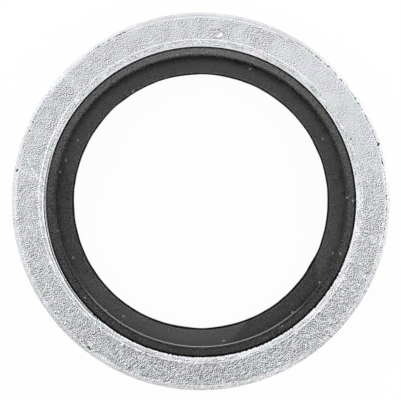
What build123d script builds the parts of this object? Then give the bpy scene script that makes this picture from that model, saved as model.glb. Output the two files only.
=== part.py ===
from build123d import *
import os

# Bonded sealing washer, self-centring pattern, for a half-inch pipe thread.
#
# A plated steel ring carries a rubber seal that is moulded into its bore and bonded there.
# The seal has a thin web at the middle of its height, which reaches in to the thread and
# centres the washer, and a sealing lip above and below it. Each lip rises from the steel's
# bore to a narrow crest that stands proud of the steel face, and falls steeply to the web.
#
# Millimetres. +Z is the washer's axis. Z = 0 is the surface that the washer lies on, which
# the crest of the lower lip touches.

# Rubber seal, from the thread outwards
seal_bore_diameter = 19.25  # free edge of the web, a tight fit on the thread
web_width = 1.335  # flat of the web, from its free edge to the root of the lips
web_thickness = 0.60
web_edge_bevel = 0.05
web_root_bevel = 0.06  # thickening where the web runs into the lips
lip_wall_draft = 0.04  # how far the lip's inner wall leans outwards on its way up
crest_width = 0.14
lip_slope_width = 0.60  # sloping outer side of the lip, from its crest to the steel
lip_stand = 0.35  # height of the crest above the steel face

# Steel ring, from its bore outwards
ring_width = 2.55  # from the bore to the rim
ring_thickness = 2.50
bore_edge_bevel = 0.03
land_width = 0.41  # band round the bore, pressed down by the edge of the seal's mould
land_depth = 0.03  # at the land's outer edge
land_fall = 0.02  # further fall of the land towards the bore
ridge_width = 0.12  # burr that the mould's edge throws up round the land
ridge_height = 0.02
punched_rim_round = 0.36  # edge drawn over by the punch, on the upper face
cut_rim_bevel = 0.12  # tumbled edge where the punch came out, on the lower face

# The most of a wall that a rounding or a bevel may take from one side
edge_share = 0.45

# Radii that follow from the widths
web_edge_radius = seal_bore_diameter / 2
lip_root_radius = web_edge_radius + web_width
crest_inner_radius = lip_root_radius + lip_wall_draft
crest_outer_radius = crest_inner_radius + crest_width
bond_radius = crest_outer_radius + lip_slope_width
ridge_inner_radius = bond_radius + land_width
ridge_top_radius = ridge_inner_radius + ridge_width / 2
ridge_outer_radius = ridge_inner_radius + ridge_width
rim_radius = bond_radius + ring_width

# Heights on the upper side that follow from the thicknesses
washer_height = ring_thickness + 2 * lip_stand
steel_face_height = washer_height - lip_stand
land_edge_height = steel_face_height - land_depth
land_bore_height = land_edge_height - land_fall
web_face_height = (washer_height + web_thickness) / 2
lip_height = washer_height - web_face_height


def edge_size(wanted, *walls):
    """Size of a rounding or a bevel, kept within the walls that it is cut from."""
    return min(wanted, edge_share * min(walls))


# Where the rubber ends against the steel, just under the bevel of the ring's bore
bore_bevel = edge_size(bore_edge_bevel, land_width, ring_thickness)
bond_height = land_bore_height - bore_bevel


def below(corners):
    """The same corners on the washer's lower side, in the opposite order."""
    return [(radius, washer_height - height, rounding) for radius, height, rounding in reversed(corners)]


def spun(corners):
    """Solid of revolution of a closed half-section of (radius, height, rounding) corners."""
    points = [(radius, height) for radius, height, rounding in corners]
    roundings = [rounding for radius, height, rounding in corners]
    outline = Plane.XZ * FilletPolyline(points, radius=roundings, close=True)
    return revolve(make_face(outline.edges()), Axis.Z)


def steel_ring():
    """Flat stamped ring, with a land pressed round its bore on both faces."""
    face_width = rim_radius - ridge_outer_radius
    rim_round = edge_size(punched_rim_round, face_width, ring_thickness)
    rim_bevel = edge_size(cut_rim_bevel, face_width, ring_thickness)
    bore_to_face = [
        (bond_radius, bond_height, 0),
        (bond_radius + bore_bevel, land_bore_height, 0),
        (ridge_inner_radius, land_edge_height, 0),
        (ridge_top_radius, steel_face_height + ridge_height, 0),
        (ridge_outer_radius, steel_face_height, 0),
    ]
    punched_rim = [(rim_radius, steel_face_height, rim_round)]
    cut_rim = [
        (rim_radius - rim_bevel, steel_face_height, 0),
        (rim_radius, steel_face_height - rim_bevel, 0),
    ]
    return spun(bore_to_face + punched_rim + below(bore_to_face + cut_rim))


def rubber_seal():
    """Web and two lips in one moulding, whose outer wall is bonded to the ring's bore."""
    edge_bevel = edge_size(web_edge_bevel, web_thickness, web_width)
    root_bevel = edge_size(web_root_bevel, web_width, lip_height)
    draft_at_bevel = lip_wall_draft * root_bevel / lip_height
    web_to_bond = [
        (web_edge_radius, web_face_height - edge_bevel, 0),
        (web_edge_radius + edge_bevel, web_face_height, 0),
        (lip_root_radius - root_bevel, web_face_height, 0),
        (lip_root_radius + draft_at_bevel, web_face_height + root_bevel, 0),
        (crest_inner_radius, washer_height, 0),
        (crest_outer_radius, washer_height, 0),
        (bond_radius, bond_height, 0),
    ]
    return spun(web_to_bond + below(web_to_bond))


os.makedirs("parts", exist_ok=True)
export_step(steel_ring(), "parts/steel_ring.step")
export_step(rubber_seal(), "parts/rubber_seal.step")
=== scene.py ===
# %% [markdown]
# # A bonded sealing washer
#
# The washer is two pieces that never come apart: a flat ring of zinc plated steel, and a black
# rubber seal moulded into its bore. Each face has a rubber lip that stands a little proud of the
# steel, and a thin rubber web at mid height reaches in to the thread and centres the washer.
#
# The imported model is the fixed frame. It gives every size that another part could depend on, and
# the pieces made here stand exactly where its pieces stand. They only carry finer edges, small
# marks of wear and their finish.

# %% Load the frame
import math

import bpy
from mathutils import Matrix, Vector


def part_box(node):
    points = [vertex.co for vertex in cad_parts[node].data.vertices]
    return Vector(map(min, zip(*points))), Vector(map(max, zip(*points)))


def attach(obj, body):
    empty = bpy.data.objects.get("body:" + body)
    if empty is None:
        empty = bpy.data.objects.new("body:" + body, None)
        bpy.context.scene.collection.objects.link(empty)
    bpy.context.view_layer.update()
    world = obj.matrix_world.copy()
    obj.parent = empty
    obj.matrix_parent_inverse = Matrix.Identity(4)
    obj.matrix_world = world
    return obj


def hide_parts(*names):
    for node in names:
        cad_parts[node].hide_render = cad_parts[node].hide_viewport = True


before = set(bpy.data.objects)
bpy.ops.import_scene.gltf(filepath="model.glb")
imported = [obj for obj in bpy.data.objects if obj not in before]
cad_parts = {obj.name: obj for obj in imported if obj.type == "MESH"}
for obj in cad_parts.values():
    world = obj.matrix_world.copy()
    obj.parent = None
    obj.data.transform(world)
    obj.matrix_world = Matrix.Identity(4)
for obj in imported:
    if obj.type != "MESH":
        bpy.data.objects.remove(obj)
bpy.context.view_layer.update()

print("pieces in the frame:", sorted(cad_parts))

# %% [markdown]
# ## Sizes
#
# Both pieces are bodies of revolution, so a section says it all. The frame's boxes give the
# radius of the rim, the radius where rubber meets steel and the heights. What lies between is
# measured outwards or upwards from those, in the same widths as the model's own section.
# The working unit is the metre, so a millimetre is named once and used throughout.

# %% Sizes that the frame gives
MM = 0.001
ring_low, ring_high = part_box("steel_ring")
_, seal_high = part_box("rubber_seal")
bond_radius = seal_high.x
rim_radius = min(-ring_low.x, ring_high.x, -ring_low.y, ring_high.y)
washer_height = seal_high.z
mid_height = washer_height / 2
print(f"rim {rim_radius / MM:.3f}, bond {bond_radius / MM:.3f}, height {washer_height / MM:.2f} mm")

# %% Sizes of the ring's section
ridge_height = 0.02 * MM
upper_face = ring_high.z - ridge_height
land_width = 0.44 * MM
land_depth = 0.005 * MM
land_fall = 0.02 * MM
burr_width = 0.09 * MM
burr_height = 0.014 * MM
land_edge = upper_face - land_depth
land_bore = land_edge - land_fall
burr_inner = bond_radius + land_width
burr_top = burr_inner + burr_width / 2
burr_outer = burr_inner + burr_width
fine_round = 0.02 * MM
punched_round = 0.36 * MM
cut_round = 0.12 * MM
print(f"steel faces at {(washer_height - upper_face) / MM:.2f} and {upper_face / MM:.2f} mm")

# %% Sizes of the seal's section
web_thickness = 0.60 * MM
web_upper = mid_height + web_thickness / 2
web_width = 1.335 * MM
wall_draft = 0.04 * MM
crest_width = 0.14 * MM
slope_width = 0.60 * MM
crest_outer = bond_radius - slope_width
crest_inner = crest_outer - crest_width
lip_root = crest_inner - wall_draft
web_edge = lip_root - web_width
crest_height = washer_height - 0.008 * MM
print(f"bore {2 * web_edge / MM:.2f} mm across")
print(f"crest {crest_inner / MM:.2f} to {crest_outer / MM:.2f} mm from the axis")

# %% [markdown]
# ## Turning a section
#
# A lathe would make this shape from its section, and so does this helper: it adds a circle at the
# section's first corner, and then extrudes that loop from corner to corner, moving and widening
# it each time, as by hand. The last loop is bridged back to the first, which closes the shell.
# Corners come out sharp, because a bevel on the finished loop gives a truer round than a row of
# guessed points.

# %% Helpers for modes and selections
SAME_PLACE = 0.0005 * MM


def to_mode(mode):
    bpy.ops.object.mode_set(mode=mode)


def select_only(piece):
    bpy.ops.object.select_all(action="DESELECT")
    piece.select_set(True)
    bpy.context.view_layer.objects.active = piece


def select_where(piece, test):
    """Selects, in object mode, the vertices that pass the test and the edges between them."""
    select_only(piece)
    mesh = piece.data
    chosen = [test(math.hypot(v.co.x, v.co.y), v.co.z, v.co) for v in mesh.vertices]
    for part in (mesh.edges, mesh.polygons):
        part.foreach_set("select", [False] * len(part))
    mesh.vertices.foreach_set("select", chosen)
    for edge in mesh.edges:
        edge.select = chosen[edge.vertices[0]] and chosen[edge.vertices[1]]
    return sum(chosen)


print(f"places closer than {SAME_PLACE / MM} mm count as one")

# %% Helper that turns a section
STEPS = 1080


def turned(name, corners):
    """A closed shell of revolution about Z from (radius, height) corners, one loop for each."""
    bpy.ops.object.select_all(action="DESELECT")
    radius, height = corners[0]
    bpy.ops.mesh.primitive_circle_add(vertices=STEPS, radius=radius, location=(0, 0, 0))
    piece = bpy.context.object
    piece.name = name
    to_mode("EDIT")
    bpy.ops.mesh.select_mode(type="EDGE")
    bpy.ops.mesh.select_all(action="SELECT")
    bpy.ops.transform.translate(value=(0, 0, height))
    for next_radius, next_height in corners[1:]:
        bpy.ops.mesh.extrude_edges_move()
        growth = next_radius / radius
        bpy.ops.transform.translate(value=(0, 0, next_height - height))
        bpy.ops.transform.resize(value=(growth, growth, 1), center_override=(0, 0, 0))
        radius, height = next_radius, next_height
    bpy.ops.mesh.select_all(action="DESELECT")
    bpy.ops.mesh.select_non_manifold()
    bpy.ops.mesh.bridge_edge_loops()
    bpy.ops.mesh.select_all(action="SELECT")
    bpy.ops.mesh.normals_make_consistent(inside=False)
    to_mode("OBJECT")
    print(f"{name}: {len(corners)} loops, {len(piece.data.polygons)} faces")
    return piece


# %% Helper that rounds a sharp loop
def round_loop(piece, radius, height, size, segments):
    """Bevels the loop of that radius and height into a round."""
    def on_loop(r, z, place):
        return abs(r - radius) < SAME_PLACE and abs(z - height) < SAME_PLACE
    select_where(piece, on_loop)
    to_mode("EDIT")
    bpy.ops.mesh.select_mode(type="EDGE")
    bpy.ops.mesh.bevel(offset=size, segments=segments, affect="EDGES")
    to_mode("OBJECT")


# %% Helpers that use the mirror between the upper and lower side
def below(corners):
    """The corners of the upper side, mirrored to the lower side and in the opposite order."""
    return [(radius, washer_height - height) for radius, height in reversed(corners)]


def on_both_sides(height):
    return (height, washer_height - height)


# %% [markdown]
# ## The steel ring
#
# The ring is punched from sheet. The punch draws the upper outer edge over into a broad round and
# leaves the lower one nearly square, so the two rims get different sizes. A narrow land round the
# bore was pressed down by the edge of the rubber mould, and the same blow threw up a low burr
# that rings the land. The flat face gets a loop every tenth of a millimetre, so that the knocks
# it took in the tumbling barrel can be real dents.

# %% Turn the ring and round its edges
FACE_LOOPS = 16
clearance = 0.02 * MM
flat_end = rim_radius - punched_round - clearance
face_step = (flat_end - burr_outer) / FACE_LOOPS
face_loops = [(burr_outer + (i + 1) * face_step, upper_face) for i in range(FACE_LOOPS)]
inner_side = [
    (bond_radius, land_bore),
    (burr_inner, land_edge),
    (burr_top, upper_face + burr_height),
    (burr_outer, upper_face),
]
rim_corner = [(rim_radius, upper_face)]
plated_ring = turned("plated_ring", inner_side + face_loops + rim_corner + below(inner_side + rim_corner))
round_loop(plated_ring, rim_radius, upper_face, punched_round, segments=10)
round_loop(plated_ring, rim_radius, washer_height - upper_face, cut_round, segments=5)
for radius, height in inner_side:
    for level in on_both_sides(height):
        round_loop(plated_ring, radius, level, fine_round, segments=3)
print("ring faces:", len(plated_ring.data.polygons))

# %% Set the mould's mark off centre
mark_inner = bond_radius + 0.1 * MM
mark_outer = burr_outer + 0.05 * MM
mark_shift = Vector((-0.015, 0.045, 0)) * MM


def in_mark(r, z, place):
    return mark_inner < r < mark_outer and z > mid_height


moved = select_where(plated_ring, in_mark)
to_mode("EDIT")
bpy.ops.transform.translate(value=mark_shift)
to_mode("OBJECT")
print("vertices of the mould's mark:", moved)

# %% [markdown]
# ## Knocks and notches
#
# Rings are tumbled and plated by the hundred, and they knock against each other. The larger
# knocks are real dents here, because they show in the outline and catch the light from any side.
# By hand, one would pull at a single vertex with proportional editing, which takes the surface
# round it along, less and less with the distance. The helper does just that, for rubber too.

# %% Helpers for knocks and bumps
def spot(azimuth, radius, height):
    """A place from an azimuth in degrees, clockwise from +Y as on a clock, a radius and a height."""
    turn = math.radians(azimuth)
    return Vector((radius * math.sin(turn), radius * math.cos(turn), height))


def press(piece, centre, reach, push):
    """Moves the surface about one place; the push fades out smoothly within the reach."""
    nearest = min((vertex.co - centre).length for vertex in piece.data.vertices)
    select_where(piece, lambda r, z, place: (place - centre).length < nearest + SAME_PLACE)
    to_mode("EDIT")
    bpy.ops.mesh.select_mode(type="VERT")
    bpy.ops.transform.translate(
        value=push, use_proportional_edit=True, proportional_edit_falloff="SMOOTH", proportional_size=reach
    )
    to_mode("OBJECT")


# %% Knocks in the face, each as (azimuth in degrees, radius, reach and depth in mm)
face_knocks = [
    (6.0, 12.62, 0.17, 0.030),
    (7.2, 12.72, 0.15, 0.022),
    (217.3, 13.90, 0.16, 0.030),
    (219.2, 13.78, 0.15, 0.025),
    (220.4, 13.55, 0.13, 0.018),
    (328.0, 12.91, 0.20, 0.008),
]
for azimuth, radius, reach, depth in face_knocks:
    place = spot(azimuth, radius * MM, upper_face)
    press(plated_ring, place, reach * MM, (0, 0, -depth * MM))
print("knocks in the face:", len(face_knocks))

# %% Notches in the rim, each as (azimuth in degrees, radius in mm)
rim_notches = [(72.0, 14.16), (118.7, 14.22), (136.1, 14.18), (174.0, 14.20), (279.8, 14.14)]
notch_level = upper_face - 0.12 * MM
notch_reach = 0.15 * MM
notch_depth = 0.03 * MM
for azimuth, radius in rim_notches:
    place = spot(azimuth, radius * MM, notch_level)
    press(plated_ring, place, notch_reach, spot(azimuth, -notch_depth, -notch_depth))
print("notches in the rim:", len(rim_notches))

# %% [markdown]
# ## The rubber seal
#
# Seen in section, the seal is a tall, narrow body with a web at half its height. Its outer wall
# is straight, for it is bonded to the ring's bore. On each side the lip rises from that wall to
# a narrow crest and then drops almost straight to the web. A fine groove is left where the rubber
# meets the steel, since the moulded edge shrinks back a little as it cures.

# %% Turn the seal and round its edges
groove_width = 0.08 * MM
groove_floor = 0.02 * MM
bond_top = land_bore - fine_round
groove_top = bond_top + (crest_height - bond_top) * groove_width / slope_width
groove_bottom = bond_top - 0.05 * MM
seal_side = [
    (web_edge, web_upper),
    (lip_root, web_upper),
    (crest_inner, crest_height),
    (crest_outer, crest_height),
    (bond_radius - groove_width, groove_top),
    (bond_radius - groove_floor, groove_bottom),
    (bond_radius, groove_bottom),
]
moulded_seal = turned("moulded_seal", seal_side + below(seal_side))
round_sizes = (0.05 * MM, 0.06 * MM, 0.03 * MM, 0.10 * MM)
for (radius, height), size in zip(seal_side, round_sizes):
    for level in on_both_sides(height):
        round_loop(moulded_seal, radius, level, size, segments=3)
print("seal faces:", len(moulded_seal.data.polygons))

# %% Trimming left a bump and a flat on the free edge, (azimuth in degrees, reach and push in mm)
trim_marks = [(119.5, 0.9, -0.045), (317.5, 1.1, 0.035)]
for azimuth, reach, push in trim_marks:
    place = spot(azimuth, web_edge, mid_height)
    press(moulded_seal, place, reach * MM, spot(azimuth, push * MM, 0))
print("marks left by trimming:", len(trim_marks))

# %% [markdown]
# ## Uneven rubber and a wavy burr
#
# Trimmed rubber is never a true circle and a burr is never an even height. Moving vertices one
# by one would take days, so a Displace modifier does it. A cloud texture, weighted to the
# vertices concerned, pushes them about by a few hundredths of a millimetre.

# %% Helper that ruffles chosen vertices
def ruffle(piece, name, test, axis, wave, amount):
    """Moves the vertices that pass the test along one axis, by a cloud texture of that wave."""
    count = select_where(piece, test)
    group = piece.vertex_groups.new(name=name)
    group.add([v.index for v in piece.data.vertices if v.select], 1.0, "REPLACE")
    cloud_texture = bpy.data.textures.new(name, "CLOUDS")
    cloud_texture.noise_scale = wave
    cloud_texture.noise_depth = 1
    bpy.ops.object.modifier_add(type="DISPLACE")
    displace = piece.modifiers[-1]
    displace.texture = cloud_texture
    displace.direction = axis
    displace.vertex_group = name
    displace.strength = amount
    displace.mid_level = 0.5
    bpy.ops.object.modifier_apply(modifier=displace.name)
    piece.vertex_groups.remove(piece.vertex_groups[name])
    print(f"{name}: {count} vertices ruffled by up to {amount / 2 / MM:.3f} mm")


# %% Ruffle the web's free edge, the crests and the burr
def free_edge(r, z, place):
    return r < web_edge + 0.08 * MM


def crests(r, z, place):
    return crest_inner - 0.01 * MM < r < crest_outer + 0.03 * MM and abs(z - mid_height) > 1.4 * MM


def burr_ridges(r, z, place):
    return abs(z - mid_height) > upper_face + 0.01 * MM - mid_height


ruffle(moulded_seal, "edge_x", free_edge, "X", wave=1.3 * MM, amount=0.06 * MM)
ruffle(moulded_seal, "edge_y", free_edge, "Y", wave=1.7 * MM, amount=0.06 * MM)
ruffle(moulded_seal, "crest", crests, "Z", wave=0.8 * MM, amount=0.010 * MM)
ruffle(plated_ring, "burr", burr_ridges, "Z", wave=0.5 * MM, amount=0.012 * MM)

# %% [markdown]
# ## Smooth shading
#
# A turned part shines in unbroken rings, so the facets must not show, yet its true edges have to
# stay crisp. Shading is smoothed wherever the surface turns by less than a set angle. Weighted
# normals then keep the large faces flat right up to their rounds.

# %% Smooth the facets and keep the edges
crisp_angle = math.radians(50)
for piece in (plated_ring, moulded_seal):
    select_only(piece)
    bpy.ops.object.shade_smooth_by_angle(angle=crisp_angle)
    bpy.ops.object.modifier_add(type="WEIGHTED_NORMAL")
    piece.modifiers[-1].keep_sharp = True
    bpy.ops.object.modifier_apply(modifier=piece.modifiers[-1].name)
    print(f"{piece.name}: {len(piece.data.vertices)} vertices, shaded smooth")

# %% [markdown]
# ## Building blocks for the finishes
#
# Both finishes need to know where on the ring a point lies, so that wear can follow the circle.
# These node groups are shared by the two materials. One turns a place into radius, azimuth and
# height. Some answer with a mask: near a value, within an arc, along a short stroke, on scattered
# specks. Others give a pattern: grain, or fine lines that run straight or follow the circle.
#
# Wiring hundreds of nodes by hand is slow and easy to get wrong. So each kind of node gets a
# helper, and a finish then reads like a sum. The helpers find the node tree by themselves, from
# the first socket that they are given.

# %% Helpers that add a node and feed its sockets
def tree_of(values):
    return next(value.id_data for value in values if isinstance(value, bpy.types.NodeSocket))


def feed(socket, value):
    """Links a socket to an output, or sets a constant on it."""
    if isinstance(value, bpy.types.NodeSocket):
        socket.id_data.links.new(value, socket)
    elif isinstance(value, (tuple, list)) and len(value) < len(socket.default_value):
        socket.default_value = (*value, 1)
    else:
        socket.default_value = value


def add_node(tree, kind, settings=None, **inputs):
    """Adds a node; inputs are given by name, with _ for a space."""
    node = tree.nodes.new(kind)
    for name, value in (settings or {}).items():
        setattr(node, name, value)
    for name, value in inputs.items():
        feed(node.inputs[name.replace("_", " ")], value)
    return node


# %% Helpers for sums of numbers
def maths(operation, *values):
    node = tree_of(values).nodes.new("ShaderNodeMath")
    node.operation = operation
    for socket, value in zip(node.inputs, values):
        feed(socket, value)
    return node.outputs[0]


def add(*values):
    result = values[0]
    for value in values[1:]:
        result = maths("ADD", result, value)
    return result


def times(*values):
    result = values[0]
    for value in values[1:]:
        result = maths("MULTIPLY", result, value)
    return result


def limited(value, low, high):
    return maths("MAXIMUM", maths("MINIMUM", value, high), low)


def ramp(value, start, end, low=0.0, high=1.0):
    """A smooth change from low to high as the value goes from start to end."""
    settings = {"interpolation_type": "SMOOTHSTEP", "clamp": False}
    node = add_node(tree_of([value]), "ShaderNodeMapRange", settings, Value=value)
    for name, given in (("From Min", start), ("From Max", end), ("To Min", low), ("To Max", high)):
        feed(node.inputs[name], given)
    return node.outputs[0]


# %% Helpers for vectors
def vector_maths(operation, *values, output="Vector"):
    node = tree_of(values).nodes.new("ShaderNodeVectorMath")
    node.operation = operation
    for socket, value in zip(node.inputs, values):
        feed(socket, value)
    return node.outputs[output]


def scaled(vector, factor):
    node = add_node(tree_of([vector, factor]), "ShaderNodeVectorMath", {"operation": "SCALE"}, Scale=factor)
    feed(node.inputs[0], vector)
    return node.outputs[0]


# %% Helpers for node groups
NUMBER, VECTOR = "NodeSocketFloat", "NodeSocketVector"


def new_group(name, inputs, outputs):
    """A shader node group whose sockets are given as (name, type) pairs."""
    tree = bpy.data.node_groups.new(name, "ShaderNodeTree")
    for label, kind in inputs:
        tree.interface.new_socket(label, in_out="INPUT", socket_type=kind)
    for label, kind in outputs:
        tree.interface.new_socket(label, in_out="OUTPUT", socket_type=kind)
    start, end = tree.nodes.new("NodeGroupInput"), tree.nodes.new("NodeGroupOutput")
    print(f"group {name}:", [label for label, _ in inputs], "->", [label for label, _ in outputs])
    return tree, start.outputs, end.inputs


def use_group(tree, group, **inputs):
    return add_node(tree, "ShaderNodeGroup", {"node_tree": group}, **inputs).outputs


# %% Group: where on the ring a point lies, in mm and in degrees clockwise from +Y
place_group, _, out = new_group(
    "ring_place",
    [],
    [("Place", VECTOR), ("Radius", NUMBER), ("Azimuth", NUMBER), ("Height", NUMBER)],
)
coordinates = add_node(place_group, "ShaderNodeTexCoord")
in_mm = scaled(coordinates.outputs["Object"], 1 / MM)
split = add_node(place_group, "ShaderNodeSeparateXYZ", Vector=in_mm)
x, y = split.outputs["X"], split.outputs["Y"]
turns = maths("DIVIDE", maths("ARCTAN2", x, y), math.tau)
feed(out["Place"], in_mm)
feed(out["Radius"], maths("SQRT", add(times(x, x), times(y, y))))
feed(out["Azimuth"], times(maths("FRACT", turns), 360.0))
feed(out["Height"], split.outputs["Z"])

# %% [markdown]
# ### Masks
#
# A mask is 1 where an effect applies and 0 elsewhere, with a soft change between the two. The
# band is the simplest one, for it only compares a value with a centre. An arc, a stroke and a
# speck each measure how far away something is, and then ask the band. That is why the band is a
# group of its own, and the others are built round it.

# %% Group: a soft band about a value
band_group, given, out = new_group(
    "band",
    [("Value", NUMBER), ("Centre", NUMBER), ("Half", NUMBER), ("Soft", NUMBER)],
    [("Mask", NUMBER)],
)
off = maths("ABSOLUTE", maths("SUBTRACT", given["Value"], given["Centre"]))
feed(out["Mask"], ramp(off, add(given["Half"], given["Soft"]), given["Half"]))


def band(value, centre, half, soft):
    """1 within half of the centre, and 0 from a further soft on."""
    tree = tree_of([value])
    return use_group(tree, band_group, Value=value, Centre=centre, Half=half, Soft=soft)["Mask"]


# %% Group: a soft arc of the circle
arc_group, given, out = new_group(
    "arc",
    [("Azimuth", NUMBER), ("From", NUMBER), ("To", NUMBER), ("Soft", NUMBER)],
    [("Mask", NUMBER)],
)
middle = times(add(given["From"], given["To"]), 0.5)
half = times(maths("SUBTRACT", given["To"], given["From"]), 0.5)
away = maths("WRAP", maths("SUBTRACT", given["Azimuth"], middle), 180.0, -180.0)
feed(out["Mask"], band(away, 0.0, half, given["Soft"]))


def arcs(azimuth, soft, *spans):
    """The sum of arcs, each given as (from, to) in degrees, that fade within the soft angle."""
    tree = tree_of([azimuth])
    result = 0.0
    for start, end in spans:
        mask = use_group(tree, arc_group, Azimuth=azimuth, From=start, To=end, Soft=soft)["Mask"]
        result = maths("ADD", mask, result)
    return result


# %% Group: a short straight stroke
stroke_group, given, out = new_group(
    "stroke",
    [("Place", VECTOR), ("Start", VECTOR), ("End", VECTOR), ("Half", NUMBER)],
    [("Mask", NUMBER)],
)
reach = vector_maths("SUBTRACT", given["Place"], given["Start"])
span = vector_maths("SUBTRACT", given["End"], given["Start"])
along = vector_maths("DOT_PRODUCT", reach, span, output="Value")
length = vector_maths("DOT_PRODUCT", span, span, output="Value")
part = limited(maths("DIVIDE", along, length), 0.0, 1.0)
gap = vector_maths("SUBTRACT", reach, scaled(span, part))
off = vector_maths("LENGTH", gap, output="Value")
feed(out["Mask"], band(off, 0.0, 0.0, given["Half"]))


def strokes(flat_place, marks):
    """The sum of strokes; a mark is (from azimuth, radius, to azimuth, radius, half width, strength).

    Each stroke is added as soon as it is made, because a long list of waiting masks is more than
    the renderer can hold for one material.
    """
    tree = tree_of([flat_place])
    result = 0.0
    for start_azimuth, start_radius, end_azimuth, end_radius, half_width, strength in marks:
        start, end = spot(start_azimuth, start_radius, 0), spot(end_azimuth, end_radius, 0)
        ends = {"Start": tuple(start), "End": tuple(end)}
        mask = use_group(tree, stroke_group, Place=flat_place, Half=half_width, **ends)["Mask"]
        result = maths("MULTIPLY_ADD", mask, strength, result)
    return result


# %% [markdown]
# ### Patterns
#
# Grain and lines all come from the same Noise texture. If the place is divided by a small number
# across and by a large one along, round grains become long lines. Sizes are in millimetres on
# the washer, so that a pattern is as fine as the real one, whatever the mesh. The specks come
# from a Voronoi texture, which gives every cell one centre.

# %% Helper that stretches noise to about -1 to 1
def stretched(noise):
    """Noise hardly leaves 0.25 to 0.75, so it is centred on nought and made four times larger."""
    return times(maths("SUBTRACT", noise.outputs["Fac"], 0.5), 4.0)


# %% Group: grain, from about -1 to 1
# Noise is flattest along its own lattice, so it is tilted away from the flat faces.
lattice_tilt = {"Axis": (0.8, 0.6, 0.0), "Angle": 0.6}
grain_group, given, out = new_group("grain", [("Place", VECTOR), ("Size", NUMBER)], [("Grain", NUMBER)])
tilted = add_node(grain_group, "ShaderNodeVectorRotate", Vector=given["Place"], **lattice_tilt)
noise = add_node(grain_group, "ShaderNodeTexNoise", Vector=tilted.outputs[0], Detail=0.0)
feed(noise.inputs["Scale"], maths("DIVIDE", 1.0, given["Size"]))
feed(out["Grain"], stretched(noise))


def grain(place, size):
    return use_group(tree_of([place]), grain_group, Place=place, Size=size)["Grain"]


# %% Group: fine lines that run one way, from about -1 to 1
lines_group, given, out = new_group(
    "fine_lines",
    [("Place", VECTOR), ("Angle", NUMBER), ("Across", NUMBER), ("Along", NUMBER)],
    [("Lines", NUMBER)],
)
about_z = {"rotation_type": "Z_AXIS"}
turned_place = add_node(lines_group, "ShaderNodeVectorRotate", about_z, Vector=given["Place"])
feed(turned_place.inputs["Angle"], given["Angle"])
split = add_node(lines_group, "ShaderNodeSeparateXYZ", Vector=turned_place.outputs[0])
squeezed = add_node(
    lines_group,
    "ShaderNodeCombineXYZ",
    X=maths("DIVIDE", split.outputs["X"], given["Along"]),
    Y=maths("DIVIDE", split.outputs["Y"], given["Across"]),
    Z=maths("DIVIDE", split.outputs["Z"], given["Across"]),
)
noise = add_node(lines_group, "ShaderNodeTexNoise", Vector=squeezed.outputs[0], Scale=1.0, Detail=0.0)
feed(out["Lines"], stretched(noise))


def fine_lines(place, direction, across, along):
    """Lines that run in a direction given in degrees, counted anticlockwise from +X."""
    turn = math.radians(-direction)
    tree = tree_of([place])
    return use_group(tree, lines_group, Place=place, Angle=turn, Across=across, Along=along)["Lines"]


# %% Group: fine lines that follow the circle, from about -1 to 1
turning_group, given, out = new_group(
    "turning_lines",
    [("Radius", NUMBER), ("Azimuth", NUMBER), ("Across", NUMBER), ("Along", NUMBER)],
    [("Lines", NUMBER)],
)
middle_radius = 12.0
angle = maths("RADIANS", given["Azimuth"])
reach = maths("DIVIDE", middle_radius, given["Along"])
wound = add_node(
    turning_group,
    "ShaderNodeCombineXYZ",
    X=times(maths("SINE", angle), reach),
    Y=times(maths("COSINE", angle), reach),
    Z=maths("DIVIDE", given["Radius"], given["Across"]),
)
noise = add_node(turning_group, "ShaderNodeTexNoise", Vector=wound.outputs[0], Scale=1.0, Detail=0.0)
feed(out["Lines"], stretched(noise))


def turning_lines(radius, azimuth, across, along):
    """Lines that follow the circle and span the same angle on the bore as on the rim."""
    inputs = {"Radius": radius, "Azimuth": azimuth, "Across": across, "Along": along}
    return use_group(tree_of([radius]), turning_group, **inputs)["Lines"]


# %% Group: scattered specks
specks_group, given, out = new_group(
    "specks",
    [("Place", VECTOR), ("Spacing", NUMBER), ("Size", NUMBER), ("Share", NUMBER)],
    [("Mask", NUMBER)],
)
cells = add_node(specks_group, "ShaderNodeTexVoronoi", Vector=given["Place"])
feed(cells.inputs["Scale"], maths("DIVIDE", 1.0, given["Spacing"]))
from_centre = times(cells.outputs["Distance"], given["Spacing"])
chance = add_node(specks_group, "ShaderNodeSeparateColor", Color=cells.outputs["Color"]).outputs["Red"]
kept = maths("LESS_THAN", chance, given["Share"])
feed(out["Mask"], times(band(from_centre, 0.0, 0.0, given["Size"]), kept))


def specks(place, spacing, size, share):
    """Soft dots, one in a cell of the spacing, of which only the given share is kept."""
    tree = tree_of([place])
    return use_group(tree, specks_group, Place=place, Spacing=spacing, Size=size, Share=share)["Mask"]


# %% Helpers for a new material
FLAT = (1.0, 1.0, 0.0)


def new_material(name):
    material = bpy.data.materials.new(name)
    material.use_nodes = True
    tree = material.node_tree
    return material, tree, tree.nodes["Principled BSDF"]


def place_outputs(tree):
    outputs = use_group(tree, place_group)
    return outputs["Place"], outputs["Radius"], outputs["Azimuth"], outputs["Height"]
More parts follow.
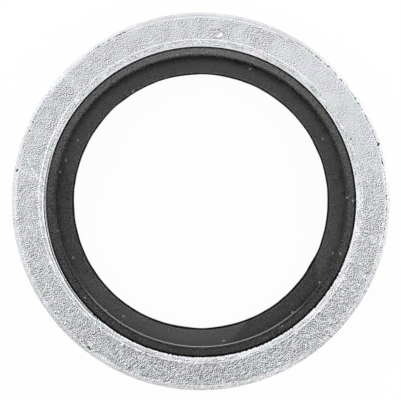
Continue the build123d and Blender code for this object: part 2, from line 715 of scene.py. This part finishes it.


# %% [markdown]
# ## Zinc plate
#
# Barrel plated zinc is bright but not a mirror. Tumbling leaves a fine, crisp grain of pits and
# hairlines, worst on one side of the ring, while the edges and the pressed land stay smoother and
# lighter. One number carries all this, together with painted light and shade: it starts from the
# zones of the section, grain, marks, painted highlights and painted shade push it up or down, and
# it chooses between a dull and a bright zinc colour. Grain and marks also feed the bump, so a dark
# pit is a low one too.
#
# The zones come first: the face, the rim and the land, each with arcs that are a little lighter
# or darker. Most of these arcs are painted light and shade. Radii and widths are in millimetres,
# azimuths in degrees, clockwise as on a clock.

# %% Zinc: zones of the section
zinc, tree, shader = new_material("zinc_plate")
where, radius, azimuth, height = place_outputs(tree)
flat_where = vector_maths("MULTIPLY", where, FLAT)
upper = maths("GREATER_THAN", height, mid_height / MM)
bond = bond_radius / MM
land = band(radius, centre=bond + 0.21, half=0.19, soft=0.05)
rim = ramp(radius, 13.82, 13.95)
worn_side = arcs(azimuth, 55.0, (115, 240))
# Painted shade: the face is darker from 140 to 225 degrees, most near 6 o'clock, on the side away from the
# key lamp; a few smaller arcs are lighter.
face_shade_and_tone = add(
    times(arcs(azimuth, 30.0, (30, 60)), 0.035),
    times(arcs(azimuth, 20.0, (84, 96), (240, 310)), 0.03),
    times(arcs(azimuth, 30.0, (140, 225)), -0.08),
    times(arcs(azimuth, 15.0, (172, 200)), -0.05),
)
# Painted light and shade on the rim: lighter from 84 to 98 and from 160 to 205 degrees, darker from 288 to
# 318, and darker on its outer round near the top, where the key lamp's highlight falls. The base of 0.17 is
# the smoother rim's own lighter zinc.
rim_light_and_tone = add(
    0.17,
    times(arcs(azimuth, 15.0, (84, 98)), 0.07),
    times(arcs(azimuth, 25.0, (160, 205)), 0.14),
    times(arcs(azimuth, 15.0, (288, 318)), -0.07),
    times(ramp(radius, 13.95, 14.08), arcs(azimuth, 40.0, (-8, 22)), -0.32),
)
rim_light_and_tone = times(rim_light_and_tone, rim)
print("zinc zones: land, face, rim, and the side that the barrel wore most")

# %% [markdown]
# ### The land and its lines
#
# Pressed steel shines where it bends. A painted highlight rings the burr, and a bright line follows
# the edge of the bore, burnished and with a painted highlight. Where that edge lifted off the rubber,
# the shade in the crack between them is painted as a dark line. They are narrower than the mesh
# could show, so each is a soft band at its own radius. The land is painted lighter in some arcs and
# darker in one, as light and shade. The burr's band is measured from the centre of the mould's mark,
# so it stays on the modelled burr.

# %% Zinc: the pressed land, its painted highlights and the crack's painted shade
# Painted light on the land: lighter towards the bore at the top and bottom and from 95 to 195 degrees, darker
# from 228 to 282; the base of 0.04 is the pressed land's own lighter zinc.
land_rise = ramp(radius, bond + 0.36, bond + 0.06)
land_light_and_tone = add(
    0.04,
    times(land_rise, arcs(azimuth, 20.0, (-30, 10), (150, 225)), 0.12),
    times(arcs(azimuth, 15.0, (95, 195)), 0.10),
    times(arcs(azimuth, 12.0, (228, 282)), -0.11),
)
lifted_edge = arcs(azimuth, 6.0, (224, 286))
# A bright line along the bore's edge, burnished and with a painted highlight; it lies a little further in on
# the upper side.
bore_place = add(times(lifted_edge, 0.13), times(arcs(azimuth, 30.0, (-70, 75)), -0.045), bond + 0.075)
burnished_bore_highlight = band(radius, bore_place, half=0.03, soft=0.045)
# Painted shade in the crack where the bore's edge lifted off the rubber.
crack_shade = times(band(radius, bond + 0.095, half=0.015, soft=0.03), lifted_edge)
sliver = times(band(radius, bond + 0.02, half=0.02, soft=0.02), lifted_edge)
mark_centre = tuple(mark_shift / MM)
from_mark = vector_maths("LENGTH", vector_maths("SUBTRACT", flat_where, mark_centre), output="Value")
# Painted highlight along the burr, stronger at the top, bottom and left, where its flanks face the lamps.
burr = band(from_mark, burr_top / MM, half=0.025, soft=0.035)
burr_highlight = add(times(arcs(azimuth, 8.0, (-40, 40), (118, 248), (260, 305)), 0.55), 0.18)
lines_tone = add(times(burnished_bore_highlight, 0.50), times(burr, burr_highlight), times(crack_shade, -1.0), times(sliver, 0.4))
plain_polish = 0.58
zones = add(plain_polish, face_shade_and_tone, times(land, land_light_and_tone), rim_light_and_tone, lines_tone)
print("zinc lines: burr, bore's edge, crack and sliver")

# %% [markdown]
# ### Pits and hairlines
#
# A pit in bright metal has a dark side and a lit one. The same grain is therefore taken twice,
# the second time one grain aside, and the two are subtracted. That gives every pit both its
# sides, and it cancels the slow cloudiness that noise brings along, so the grain stays crisp.
# Hairlines lie in two directions, and large soft patches decide which of them shows. Where a
# hairline is strongest it glints, so its brightest part is added once more.
#
# Depth is a number of its own. It is greater on the worn side and less where masks call it calm.

# %% Zinc: where the surface is hatched, calm, patchy or rubbed
hatched = arcs(azimuth, 20.0, (152, 200))
smooth_patch = arcs(azimuth, 14.0, (-40, 10), (28, 78))
calm = add(
    1.0,
    times(rim, -0.6),
    times(smooth_patch, -0.30),
    times(arcs(azimuth, 14.0, (34, 72)), -0.24),
    times(land, -0.64),
)
pit_depth = times(add(times(worn_side, 0.46), times(hatched, -0.06), 0.72), calm)
patchy = limited(add(grain(where, 1.5), 0.5, hatched), 0.0, 1.0)
rubbed = limited(add(times(grain(where, 0.9), 0.5), 0.95), 0.6, 1.2)
print("nodes in the zinc so far:", len(tree.nodes))

# %% Zinc: pits with a lit side
pit_size = 0.055
one_pit_aside = (0.054, -0.054, 0.0)
lit_side = vector_maths("ADD", where, one_pit_aside)
embossed = times(add(grain(where, pit_size), times(grain(lit_side, pit_size), -1.0)), 0.78)
pits = times(embossed, pit_depth, rubbed)
print(f"pits of {pit_size} mm")

# %% Zinc: hairlines that glint
hairline_width = 0.049
lines_up = times(fine_lines(where, 41, hairline_width, 0.42), patchy)
lines_down = times(fine_lines(where, 154, hairline_width, 0.5), maths("SUBTRACT", 1.0, patchy))
lines = add(lines_up, lines_down)
line_depth = times(add(times(worn_side, 0.16), times(hatched, 0.16), 0.05), calm)
glint_depth = times(add(times(worn_side, 0.42), 0.05), calm)
hairlines = add(times(lines, line_depth), times(ramp(lines, 0.25, 0.65), glint_depth))
print(f"hairlines {hairline_width} mm wide")

# %% Zinc: streaks and grit on the land, clouds and sparkle on the face
gritty_land = times(arcs(azimuth, 20.0, (-85, 100)), land)
streak_lines = turning_lines(radius, azimuth, 0.05, 0.9)
streak_depth = add(times(land, add(times(worn_side, 0.15), 0.15)), times(gritty_land, 0.12))
streaks = times(streak_lines, streak_depth)
grit = times(add(times(grain(where, 0.06), 0.5), 0.05), gritty_land)
clouds = times(grain(where, 1.1), 0.025)
sparkle = times(specks(where, spacing=0.3, size=0.06, share=0.3), add(times(worn_side, 0.45), 0.15), calm)
print("nodes in the zinc so far:", len(tree.nodes))

# %% [markdown]
# ### The punched wall of the rim
#
# The punch shears the upper part of the wall and draws fine upright lines down it. Lower down
# the steel tears off, which leaves a rougher and darker band with a wandering edge. The lines
# are the same turning lines, fed with the height in place of the radius, long and very narrow.

# %% Zinc: the sheared and torn wall of the rim
sheared = times(ramp(radius, 14.10, 14.24), ramp(height, 2.5, 2.35))
torn = ramp(add(height, times(grain(where, 2.0), 0.25)), 1.5, 1.25)
drawn = times(turning_lines(height, azimuth, 1.4, 0.09), 0.12)
torn_grain = times(add(times(grain(where, 0.15), 0.17), -0.07), torn)
rim_wall = times(add(drawn, torn_grain, -0.16), sheared)
texture = add(pits, hairlines, streaks, grit, clouds, sparkle, rim_wall)
print("zinc textures: pits, hairlines, streaks, grit, clouds, sparkle, rim wall")

# %% [markdown]
# ### Marks that stand out
#
# The eye finds the few larger scratches, grooves and dark dots at once, so they are listed one by
# one and not left to noise. Each is a short straight stroke between two places on the ring. A
# positive strength brightens it like a fresh scratch, and a negative one darkens it. The dark dots
# at the rim's notches are painted shade in those notches.

# %% Zinc: scratches, each as (from azimuth, radius, to azimuth, radius, half width, strength)
scratches = [
    (284.1, 13.50, 281.2, 13.00, 0.07, 0.50),
    (281.2, 13.00, 277.9, 12.39, 0.07, 0.50),
    (279.8, 13.73, 278.5, 12.70, 0.06, 0.40),
    (231.2, 13.95, 227.8, 13.26, 0.07, 0.68),
    (209.5, 13.43, 212.6, 13.15, 0.07, 0.60),
    (215.4, 13.36, 214.0, 13.05, 0.06, 0.52),
    (185.6, 12.98, 187.3, 12.79, 0.06, 0.52),
    (217.4, 12.37, 220.0, 11.85, 0.07, 0.52),
    (139.5, 13.12, 142.6, 12.74, 0.07, 0.52),
    (129.4, 12.98, 130.8, 12.60, 0.06, 0.45),
    (16.9, 13.12, 16.2, 12.74, 0.07, 0.45),
    (7.0, 12.78, 5.9, 12.52, 0.13, 0.70),
]
print("scratches:", len(scratches))

# %% Zinc: grooves, dark dots and painted shade in the rim's notches, in the same form
grooves = [
    (3.4, 13.00, 5.6, 13.10, 0.06, -0.40),
    (5.6, 13.10, 7.6, 12.92, 0.06, -0.40),
    (4.8, 12.40, 7.2, 12.46, 0.06, -0.52),
    (216.9, 13.93, 218.0, 13.89, 0.11, -1.03),
    (218.8, 13.82, 220.0, 13.66, 0.06, -0.52),
    (220.2, 13.66, 220.5, 13.40, 0.06, -0.46),
    (112.2, 13.85, 114.2, 13.45, 0.06, -0.46),
    (155.8, 12.65, 151.3, 12.39, 0.08, -0.46),
    (24.5, 13.90, 26.2, 13.85, 0.06, -0.35),
    (28.4, 13.95, 30.2, 13.90, 0.06, -0.45),
]
# The first four paint shade into the rim's notches; the rest are dark dots.
dark_marks_and_shade = [
    (71.8, 14.14, 72.2, 14.06, 0.13, -1.20),
    (279.6, 14.12, 280.0, 14.04, 0.10, -1.20),
    (118.7, 14.22, 118.7, 14.14, 0.08, -0.60),
    (136.1, 14.18, 136.1, 14.02, 0.08, -0.60),
    (67.1, 12.29, 67.3, 12.29, 0.10, -0.80),
    (69.2, 12.29, 69.3, 12.29, 0.08, -0.70),
    (53.4, 11.84, 53.4, 11.80, 0.09, -0.90),
    (86.6, 13.00, 86.6, 12.95, 0.09, -0.60),
    (109.4, 13.10, 109.4, 13.07, 0.09, -0.50),
    (120.5, 12.90, 120.5, 12.88, 0.09, -0.50),
    (133.6, 12.88, 133.6, 12.86, 0.10, -0.50),
]
marks = times(strokes(flat_where, scratches + grooves + dark_marks_and_shade), upper)
print("marks on the steel:", len(scratches + grooves + dark_marks_and_shade))

# %% [markdown]
# ### Broken lines and smeared rubber
#
# A dark line follows the step behind the drawn rim, and a painted shadow lies just outside the
# burr, both in lines that break off and start again. Grain eats gaps into them, and some of it is
# added to the radius, so that they waver. Along the bore a film of rubber crept over the zinc here
# and there while it was moulded. Where it lies, the surface is no longer metal, so one mask serves
# for colour and metal alike.

# %% Zinc: broken lines that follow the circle
gaps = limited(add(times(grain(where, 0.11), 1.6), 0.5), 0.0, 1.0)
jagged = add(radius, times(grain(where, 0.12), 0.035))
# A dark broken line along the step behind the drawn rim.
rim_track = band(jagged, centre=14.03, half=0.005, soft=0.05)
rim_line = times(rim_track, arcs(azimuth, 4.0, (33, 103), (284, 303), (324, 336)), gaps, -0.85)
# Painted shadow of the burr, in a broken line just outside it.
beside_burr = band(from_mark, centre=burr_top / MM + 0.09, half=0.01, soft=0.05)
burr_shade = times(beside_burr, arcs(azimuth, 4.0, (124, 163), (193, 211)), gaps, -0.5)
circle_lines = times(add(rim_line, burr_shade), upper)
print("lines of dirt: rim and burr")

# %% Zinc: rubber smeared over the bore's edge
smear_reach = add(times(turning_lines(radius, azimuth, 2.0, 0.13), 0.06), bond + 0.01)
smear = ramp(maths("SUBTRACT", radius, smear_reach), 0.025, 0.0)
smear = times(smear, arcs(azimuth, 10.0, (118, 222)), maths("LESS_THAN", radius, 12.0))
clean = maths("SUBTRACT", 1.0, smear)
print("nodes in the zinc so far:", len(tree.nodes))

# %% [markdown]
# ### From polish and painted light to metal
#
# The zinc's polish, with the painted light and shade added to it, picks a colour between dull and
# bright zinc. A cloudy tint makes it bluish in some places and warmer in others, as thin zinc does.
# The rim is a little rougher than the face, and texture and marks go to a Bump node that is only a
# few micrometres deep.

# %% Zinc: colour
# Polish plus the painted light and shade of the zones, lines and marks.
polish_and_shading = add(zones, texture, marks, circle_lines)
dull_zinc = (0.050, 0.052, 0.056, 1)
bright_zinc = (0.962, 0.978, 1.0, 1)
colour = add_node(tree, "ShaderNodeMix", {"data_type": "RGBA"}, Factor=limited(polish_and_shading, 0.0, 1.0))
colour.inputs["A"].default_value = dull_zinc
colour.inputs["B"].default_value = bright_zinc
clouds_of_colour = add_node(tree, "ShaderNodeTexNoise", Vector=where, Scale=1.5, Detail=1.0).outputs
tint = vector_maths("MULTIPLY_ADD", clouds_of_colour["Color"], (0.22, 0.04, 0.12), (0.888, 0.980, 0.862))
tint = vector_maths("ADD", tint, scaled((0.0, 0.0, 0.18), clouds_of_colour["Fac"]))
tint = vector_maths("ADD", tint, scaled((0.018, 0.004, -0.006), rim))
tinted = vector_maths("MULTIPLY", colour.outputs["Result"], tint)
feed(shader.inputs["Base Color"], scaled(tinted, maths("MAXIMUM", clean, 0.03)))
print("zinc from", dull_zinc[:3], "to", bright_zinc[:3])

# %% Zinc: metal, roughness and relief
zinc_relief = 0.006 * MM
feed(shader.inputs["Metallic"], clean)
feed(shader.inputs["Roughness"], add(times(rim, 0.37), times(land, -0.02), 0.40))
relief = add_node(tree, "ShaderNodeBump", Strength=1.0, Distance=zinc_relief, Height=add(texture, marks))
feed(shader.inputs["Normal"], relief.outputs["Normal"])
plated_ring.data.materials.append(zinc)
print("nodes in the zinc:", len(tree.nodes))

# %% [markdown]
# ## Black rubber
#
# Nitrile rubber is a soft black when new. Stored rubber blooms: a pale film comes to the surface
# and fades where it is rubbed off. Here one number lightens or darkens the black: it carries the
# bloom, with zones and patches of its own and a little dust, and also painted light and shade on
# the lips, the web and the crevice along the steel.
#
# As on the zinc, the zones come first. The web is painted darker towards its root, as the shade
# where the lip stands over it, and the lip's outer slope is painted lighter than its crest, as light
# and shade, most of all on the upper side.

# %% Rubber: zones of the section
rubber, tree, shader = new_material("black_rubber")
where, radius, azimuth, height = place_outputs(tree)
flat_where = vector_maths("MULTIPLY", where, FLAT)
from_middle = maths("ABSOLUTE", maths("SUBTRACT", height, mid_height / MM))
crest = crest_inner / MM
on_web = maths("LESS_THAN", radius, crest - 0.05)
on_crest = maths("GREATER_THAN", radius, crest - 0.005)
# Painted shade of the lip on the web near its root: strongest at the top, weakest at the bottom.
root_shade = add(
    0.12,
    times(arcs(azimuth, 40.0, (-100, 130)), 0.30),
    times(arcs(azimuth, 60.0, (-25, 25)), 0.55),
)
web = add(1.15, times(ramp(radius, crest - 0.57, crest - 0.06), root_shade, -0.77))
upper_side = arcs(azimuth, 30.0, (-45, 45))
# Painted shade on the crest, darkest on the upper side, where it faces away from the key lamp.
lip = ramp(radius, crest + 0.04, crest + 0.22, add(times(upper_side, -0.45), 0.5), 1.0)
# Painted light and shade on the lip's slope: lighter at the top, darker at the bottom.
lip_light_and_shade = add(
    1.02,
    times(arcs(azimuth, 20.0, (-40, 5)), 0.06),
    times(arcs(azimuth, 30.0, (125, 265)), -0.22),
)
print("rubber zones: web and lip")

# %% [markdown]
# ### Lines of the moulding, and painted light and shade
#
# The lip's wall, its root, the crest, the trimmed free edge and the crevice along the steel all
# follow the circle as thin light or dark lines. Each is a band in radius or in height. The wall's
# light, the dark line at the root, the crest's light and dark bands and the dark crevice are painted
# light and shade. A shred of flash, paler than all the rest, is left in one place against the steel.

# %% Rubber: the crest's wall, the trimmed edge and the lines along the steel
wall = times(band(from_middle, 0.84, 0.27, 0.12), band(radius, crest - 0.03, 0.02, 0.015))
# Painted light on the lip's inner wall, brightest at the bottom, where the wall faces the key lamp.
wall_light_and_tone = add(times(arcs(azimuth, 12.0, (145, 225)), 3.0), times(arcs(azimuth, 30.0, (85, 280)), 1.1), 0.25)
# Painted shade in the corner at the lip's root.
root_shade_line = times(ramp(from_middle, 0.6, 0.4), band(radius, crest - 0.06, 0.04, 0.03), -0.12)
# Painted highlight on the lip's slope just outside the crest, on the upper side.
crest_highlight = times(band(radius, crest + 0.26, 0.03, 0.04), upper_side, 0.20)
# Painted shade on the crest, on the lower side.
crest_shade = times(band(radius, crest + 0.08, 0.035, 0.03), arcs(azimuth, 30.0, (130, 230)), -0.32)
crevice_half = add(times(arcs(azimuth, 30.0, (100, 230)), 0.02), 0.055)
trimmed = band(radius, web_edge / MM + 0.04, 0.07, 0.02)
trimmed_light = times(band(radius, web_edge / MM + 0.17, 0.03, 0.05), 0.26)
# Painted shade in the groove along the steel, a little less at the top.
crevice_shade = times(band(radius, bond - 0.07, crevice_half, 0.025), add(times(upper_side, -0.2), 1.5))
flash = times(band(radius, bond - 0.02, 0.02, 0.02), arcs(azimuth, 8.0, (258, 284)))
# Painted light and shade of the web, lip, wall, root and crest, summed with the bloom.
bloom_and_shading = add(
    times(web, on_web),
    times(lip, on_crest, lip_light_and_shade),
    times(wall, wall_light_and_tone),
    root_shade_line,
    crest_highlight,
)
bloom_and_shading = add(
    bloom_and_shading,
    0.16,
    times(trimmed, -1.6),
    trimmed_light,
    crest_shade,
    times(crevice_shade, -1.2),
    times(flash, 9.0),
)
print("rubber lines: wall, root, crest, trimmed edge, crevice, flash")

# %% [markdown]
# ### Painted shadows, speckle and dust
#
# The web is painted darker in patches with slanting ends, as the shadows that the lip casts, so
# their azimuth leans with the radius; a few arcs are painted lighter. A fine speckle lies over
# everything, stronger near the free edge and calmer on part of the lip. Small flecks of dust come
# from the specks group, and the larger ones are listed one by one.

# %% Rubber: painted light and shadow patches on the web
# Painted shadows on the web, in patches whose ends slant with the radius, and a few arcs painted lighter.
lean = maths("SUBTRACT", azimuth, times(maths("SUBTRACT", radius, 9.7), 8.0))
light_and_shadow_patches = add(
    times(arcs(lean, 4.0, (118, 157)), -0.42),
    times(arcs(lean, 5.0, (235, 275)), -0.33),
    times(arcs(azimuth, 10.0, (200, 235)), -0.10),
    times(arcs(azimuth, 15.0, (30, 65), (292, 335)), 0.13),
)
print("nodes in the rubber so far:", len(tree.nodes))

# %% Rubber: speckle, mottle, and painted shadow at the root, ragged and in rays
near_edge = band(radius, 9.75, 0.2, 0.35)
near_root = times(band(radius, crest - 0.18, 0.12, 0.2), on_web)
restless = arcs(azimuth, 20.0, (30, 150), (215, 335))
calm_lip = arcs(azimuth, 20.0, (15, 85), (290, 345))
speckle_depth = add(
    times(on_crest, add(times(calm_lip, -0.35), 1.0)),
    times(near_edge, 0.6),
    times(restless, 0.4),
    0.3,
)
speckle = times(grain(where, 0.05), speckle_depth)
mottle = times(grain(where, 0.22), add(times(restless, 0.03), 0.03))
# Painted shadow under the lip near the root, made ragged by grain.
ragged_root_shadow = times(grain(where, 0.7), near_root, arcs(azimuth, 20.0, (20, 105)), 0.22)
ray_lines = turning_lines(radius, azimuth, 0.9, 0.12)
# Rays of painted shadow under the lip.
rays = times(ray_lines, near_root, arcs(azimuth, 6.0, (-16, -2), (30, 42), (68, 80)), 0.16)
bloom_and_shading = add(bloom_and_shading, times(light_and_shadow_patches, on_web), speckle, mottle, ragged_root_shadow, rays)
print("nodes in the rubber so far:", len(tree.nodes))

# %% Rubber: dust, with the larger flecks as (azimuth, radius)
flecks = add(specks(where, 0.9, 0.055, 0.35), times(specks(where, 0.35, 0.045, 0.35), 0.5))
dust_places = [
    (20.1, 10.70), (62.5, 10.38), (87.9, 11.01), (89.2, 11.47), (110.0, 11.22), (111.1, 10.74),
    (124.0, 10.89), (140.2, 10.89), (146.6, 11.21), (170.4, 10.70), (213.8, 10.49), (221.0, 10.93),
    (230.3, 11.31), (246.1, 10.56), (258.5, 10.97), (281.8, 10.86), (286.9, 10.68), (296.4, 10.41),
    (328.2, 9.78),
]
fleck_half = 0.075
dust_marks = [(turn, r, turn + 0.4, r + 0.02, fleck_half, 1.0) for turn, r in dust_places]
fine_dust = times(flecks, 2.6)
dust = times(strokes(flat_where, dust_marks), add(on_web, on_crest), 6.0)
bloom_and_shading = add(bloom_and_shading, fine_dust, dust)
print("larger dust flecks:", len(dust_marks))

# %% Rubber: creases and painted highlights, in the same form as the scratches
# The three bright strokes near the top of the lip are painted highlights; the dark ones are creases.
creases_and_highlights = [
    (59.1, 9.72, 61.3, 10.17, 0.06, -0.7),
    (294.2, 11.33, 295.6, 10.72, 0.06, -0.6),
    (2.0, 11.40, 5.8, 11.42, 0.07, 0.7),
    (350.6, 11.24, 351.2, 11.26, 0.07, 1.6),
    (354.2, 11.28, 356.6, 11.30, 0.07, 0.9),
    (355.8, 11.62, 355.6, 11.10, 0.05, -0.7),
    (20.2, 11.02, 23.4, 10.90, 0.10, -0.6),
]
bloom_and_shading = add(bloom_and_shading, strokes(flat_where, creases_and_highlights))
print("creases and smudges:", len(creases_and_highlights))

# %% [markdown]
# ### From bloom and painted light to rubber
#
# Black rubber reflects about one twentieth of the light. The bloom, with its painted light and
# shade, multiplies that, and a slight cloudy tint takes the flatness out of it. Rubber hardly
# shines, so the specular level is low.

# %% Rubber: colour, roughness and relief
black = (0.053, 0.053, 0.053)
rubber_relief = 0.004 * MM
cloud_colour = add_node(tree, "ShaderNodeTexNoise", Vector=where, Scale=2.0, Detail=1.0).outputs["Color"]
tint = vector_maths("MULTIPLY_ADD", cloud_colour, (0.20, 0.12, 0.20), (0.90, 0.94, 0.90))
# Bloom together with the painted light and shade, as a multiple of the black.
bloomed_and_shaded = scaled(black, limited(bloom_and_shading, 0.02, 9.0))
feed(shader.inputs["Base Color"], vector_maths("MULTIPLY", bloomed_and_shaded, tint))
feed(shader.inputs["Roughness"], ramp(radius, web_edge / MM + 0.04, web_edge / MM, 0.5, 1.0))
shader.inputs["Specular IOR Level"].default_value = 0.06
bumps = add(times(speckle, 0.5), mottle, flecks)
relief = add_node(tree, "ShaderNodeBump", Strength=1.0, Distance=rubber_relief, Height=bumps)
feed(shader.inputs["Normal"], relief.outputs["Normal"])
moulded_seal.data.materials.append(rubber)
print("nodes in the rubber:", len(tree.nodes))

# %% [markdown]
# ## Back on the frame
#
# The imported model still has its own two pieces. Each new piece rides on the washer's only body
# and replaces the one that it was made after. The slot names the finish, so that another scene
# can exchange the material without knowing the mesh.

# %% Put the pieces on the frame
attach(plated_ring, "root")
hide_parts("steel_ring")
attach(moulded_seal, "root")
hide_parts("rubber_seal")
print("pieces on the body root:", plated_ring.name, "and", moulded_seal.name)

# %% [markdown]
# ## White paper
#
# The washer lies on white paper. Paper lit brightly enough to look white would need more light
# than the zinc can stand. So the paper glows, but only for rays that come straight from the
# camera or by way of a mirror or glass. All other rays meet plain matt paper, and a small share
# of matt is left for the camera too, which carries the washer's faint shadow.

# %% Floor
bpy.ops.mesh.primitive_plane_add(size=1, location=(0, 0, 0))
floor = bpy.context.object
floor.name = "floor"
print("floor:", tuple(floor.dimensions), "m")

# %% Paper that glows for the camera
glow_share = 0.95
paper = bpy.data.materials.new("white_paper")
paper.use_nodes = True
tree = paper.node_tree
tree.nodes.clear()
output = add_node(tree, "ShaderNodeOutputMaterial")
matt = add_node(tree, "ShaderNodeBsdfDiffuse", Color=(0.85, 0.85, 0.85))
glow = add_node(tree, "ShaderNodeEmission", Strength=1.0)
path = add_node(tree, "ShaderNodeLightPath").outputs
direct = maths("MAXIMUM", path["Is Camera Ray"], path["Is Glossy Ray"])
seen = maths("MAXIMUM", direct, path["Is Transmission Ray"])
blend = add_node(tree, "ShaderNodeMixShader")
feed(blend.inputs["Fac"], times(seen, glow_share))
feed(blend.inputs[1], matt.outputs[0])
feed(blend.inputs[2], glow.outputs[0])
feed(output.inputs["Surface"], blend.outputs[0])
floor.data.materials.append(paper)
print("nodes in the paper:", len(tree.nodes))

# %% [markdown]
# ## Soft light
#
# A white room lights the washer from all round, which keeps the zinc pale. Four softboxes give it
# shape. The strongest stands low on the far side and draws the bright lines on edges and lips,
# two weaker ones stand at the sides, and one hangs almost straight above.

# %% A white room
world = bpy.data.worlds.new("studio")
bpy.context.scene.world = world
world.use_nodes = True
room = world.node_tree.nodes["Background"]
room.inputs["Color"].default_value = (1, 1, 1, 1)
room.inputs["Strength"].default_value = 0.69
print(f"light of the room: {room.inputs['Strength'].default_value:.2f}")

# %% Softboxes
LAMP_DISTANCE = 0.35
LAMP_SIZE = 0.14


def softbox(name, azimuth, elevation, power):
    """A square area lamp that faces the washer; azimuth is clockwise from +Y, in degrees."""
    azimuth, elevation = math.radians(azimuth), math.radians(elevation)
    level = math.cos(elevation)
    towards = Vector((math.sin(azimuth) * level, math.cos(azimuth) * level, math.sin(elevation)))
    bpy.ops.object.light_add(type="AREA", location=towards * LAMP_DISTANCE)
    lamp = bpy.context.object
    lamp.name = name
    lamp.data.size = LAMP_SIZE
    lamp.data.energy = power
    lamp.rotation_euler = towards.to_track_quat("Z", "Y").to_euler()
    print(f"{name}: {power} W")


softbox("key_softbox", azimuth=6, elevation=10, power=1.35)
softbox("left_softbox", azimuth=280, elevation=30, power=0.30)
softbox("right_softbox", azimuth=100, elevation=30, power=0.24)
softbox("top_softbox", azimuth=10, elevation=85, power=0.075)

# %% [markdown]
# ## The camera
#
# A flat ring shows its circles best from straight above, through a long lens and from a fair
# distance. The camera leans by a few degrees, which lets a thread of the lip's wall show. The
# focal length follows from the size of one pixel on the washer's face.

# %% Camera
SENSOR = 36
IMAGE_WIDTH, IMAGE_HEIGHT = 401, 400
WASHER_PIXELS = 378.5
pixel = 28.58 * MM / WASHER_PIXELS
centre_x, centre_y = 200.76, 202.15
camera_distance = 0.25
tilt = math.radians(2.3)
bpy.ops.object.camera_add()
camera = bpy.context.object
bpy.context.scene.camera = camera
camera.data.sensor_width = SENSOR
camera.data.lens = SENSOR * camera_distance / (IMAGE_WIDTH * pixel)
aim_x = (IMAGE_WIDTH / 2 - centre_x) * pixel
aim_y = (centre_y - IMAGE_HEIGHT / 2) * pixel
aim = Vector((aim_x, aim_y, upper_face))
camera.location = aim + Vector((0, math.sin(tilt), math.cos(tilt))) * camera_distance
camera.rotation_euler = (-tilt, 0, 0)
camera.data.clip_start = 0.01
camera.data.clip_end = 10
bpy.context.scene.view_settings.view_transform = "Standard"
print(f"lens {camera.data.lens:.1f} mm, {camera_distance} m away")
